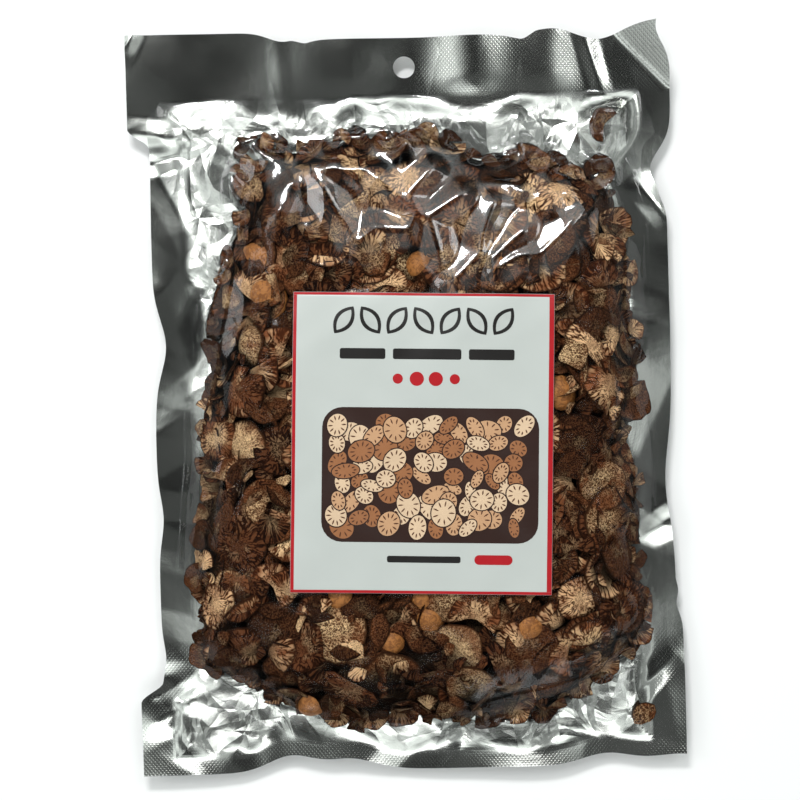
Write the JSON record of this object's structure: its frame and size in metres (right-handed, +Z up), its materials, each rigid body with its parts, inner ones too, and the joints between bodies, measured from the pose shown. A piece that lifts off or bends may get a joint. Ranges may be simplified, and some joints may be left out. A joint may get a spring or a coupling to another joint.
{
  "type": "sealed pouch of dried betel nut slices",
  "caption": "Flat vacuum-sealed pouch with a clear front, foil back and punched header, packed with dried betel nut slices under a paper label.",
  "frame": {"origin": "on the surface the pouch lies on, under the middle of its box", "axes": "+Y along the pouch towards the header with the hang hole, +Z up out of the clear front, +X to the right as the front is seen"},
  "size_m": [0.22, 0.3, 0.0317],
  "materials": {
    "foil_and_film": "foil laminate seen through a glossy clear film, creased",
    "betel_nut": "dried nut, matte, dark brown with cream rays",
    "label_paper": "smooth coated paper with a thin red border"
  },
  "bodies": {
    "root": {"pouch": "foil_and_film", "label": "label_paper"}
  },
  "joints": []
}
